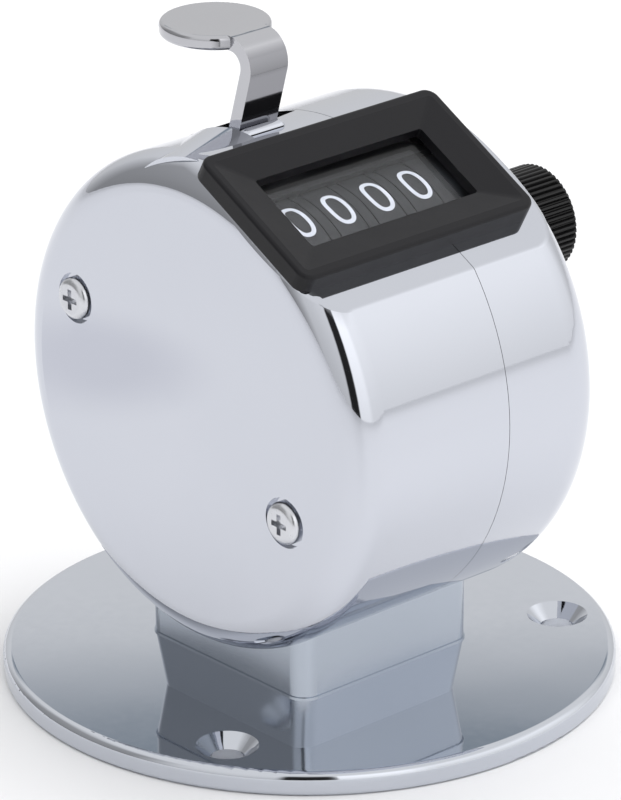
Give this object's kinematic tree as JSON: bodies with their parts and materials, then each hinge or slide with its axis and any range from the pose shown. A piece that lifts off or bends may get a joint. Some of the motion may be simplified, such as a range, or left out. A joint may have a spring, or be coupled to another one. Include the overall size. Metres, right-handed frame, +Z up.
{
  "type": "hand tally counter",
  "caption": "Chrome drum hand tally counter on a round screw-down base: black-framed window over number wheels, thumb lever on top and a ribbed reset knob at the side.",
  "frame": {"origin": "centre of the base disc's underside, on the axis of its circle of screw holes", "axes": "+Z up out of the base, the window faces -Y, the drum and its counting axle lie along X with the reset knob on +X"},
  "size_m": [0.06, 0.0617, 0.0682],
  "materials": {
    "chrome_plate": "bright chrome plating on pressed and cast metal",
    "window_plastic": "satin charcoal moulded plastic",
    "knob_plastic": "black moulded plastic with fine ribs",
    "lens_clear": "clear polished acrylic",
    "wheel_plastic": "dark grey moulded plastic, white numerals",
    "gear_plastic": "natural acetal",
    "frame_steel": "zinc plated pressed steel",
    "screw_steel": "nickel plated steel",
    "spring_steel": "drawn spring wire",
    "pawl_brass": "stamped brass"
  },
  "bodies": {
    "case": {"base_plate": "chrome_plate", "base_screws": "screw_steel", "mount_block": "chrome_plate", "saddle_clamp": "frame_steel", "clamp_screws": "screw_steel", "left_shell": "chrome_plate", "right_shell": "chrome_plate", "window_bezel": "window_plastic", "window_lens": "lens_clear", "case_screws": "screw_steel", "left_frame_plate": "frame_steel", "right_frame_plate": "frame_steel", "frame_spacers": "frame_steel", "number_guard": "wheel_plastic", "pinion_shaft": "frame_steel", "check_pawl_pin": "frame_steel"},
    "lever": {"thumb_lever": "chrome_plate", "pawl_crossbar": "frame_steel", "pawl_spring": "spring_steel", "return_spring": "spring_steel"},
    "drive_pawl": {"drive_pawl": "pawl_brass"},
    "check_pawl": {"check_pawl": "pawl_brass"},
    "wheel_thousands": {"number_wheel_thousands": "wheel_plastic"},
    "wheel_hundreds": {"number_wheel_hundreds": "wheel_plastic"},
    "wheel_tens": {"number_wheel_tens": "wheel_plastic"},
    "wheel_units": {"number_wheel_units": "wheel_plastic", "ratchet_wheel": "pawl_brass"},
    "pinion_hundreds": {"carry_pinion_hundreds": "gear_plastic"},
    "pinion_tens": {"carry_pinion_tens": "gear_plastic"},
    "pinion_units": {"carry_pinion_units": "gear_plastic"},
    "reset": {"reset_shaft": "frame_steel", "reset_knob": "knob_plastic", "knob_grub_screw": "screw_steel", "shaft_clip": "spring_steel"}
  },
  "joints": [
    {"name": "lever_press", "type": "hinge", "parent": "case", "child": "lever", "pos_m": [-0.0103, -0.0218, 0.0285], "axis": [-1, 0, 0], "range_deg": [0, 11.5], "stiffness_Nm_per_rad": 0.3, "springref_deg": -11.46},
    {"name": "drive_pawl_swing", "type": "hinge", "parent": "lever", "child": "drive_pawl", "pos_m": [0.0018, 0.0012, 0.036], "axis": [1, 0, 0], "range_deg": [0, 18.5]},
    {"name": "check_pawl_swing", "type": "hinge", "parent": "case", "child": "check_pawl", "pos_m": [0.0018, -0.0202, 0.0377], "axis": [1, 0, 0], "range_deg": [0, 10], "stiffness_Nm_per_rad": 0.002, "springref_deg": -8.59},
    {"name": "thousands_turn", "type": "hinge", "parent": "case", "child": "wheel_thousands", "pos_m": [-0.01607, -0.0126, 0.0452], "axis": [1, 0, 0], "continuous": true},
    {"name": "hundreds_turn", "type": "hinge", "parent": "case", "child": "wheel_hundreds", "pos_m": [-0.01142, -0.0126, 0.0452], "axis": [1, 0, 0], "continuous": true},
    {"name": "tens_turn", "type": "hinge", "parent": "case", "child": "wheel_tens", "pos_m": [-0.00677, -0.0126, 0.0452], "axis": [1, 0, 0], "continuous": true},
    {"name": "units_turn", "type": "hinge", "parent": "case", "child": "wheel_units", "pos_m": [-0.00213, -0.0126, 0.0452], "axis": [1, 0, 0], "continuous": true},
    {"name": "hundreds_pinion_turn", "type": "hinge", "parent": "case", "child": "pinion_hundreds", "pos_m": [-0.01375, -0.0126, 0.03404], "axis": [1, 0, 0], "continuous": true},
    {"name": "tens_pinion_turn", "type": "hinge", "parent": "case", "child": "pinion_tens", "pos_m": [-0.0091, -0.0126, 0.03404], "axis": [1, 0, 0], "continuous": true},
    {"name": "units_pinion_turn", "type": "hinge", "parent": "case", "child": "pinion_units", "pos_m": [-0.00445, -0.0126, 0.03404], "axis": [1, 0, 0], "continuous": true},
    {"name": "reset_turn", "type": "hinge", "parent": "case", "child": "reset", "pos_m": [0.0152, -0.0126, 0.0452], "axis": [1, 0, 0], "continuous": true}
  ],
  "couplings": [
    {"joint": "drive_pawl_swing", "follows": "lever_press", "ratio": 1.59},
    {"joint": "hundreds_pinion_turn", "follows": "thousands_turn", "ratio": -2.5},
    {"joint": "tens_pinion_turn", "follows": "hundreds_turn", "ratio": -2.5},
    {"joint": "units_pinion_turn", "follows": "tens_turn", "ratio": -2.5}
  ]
}
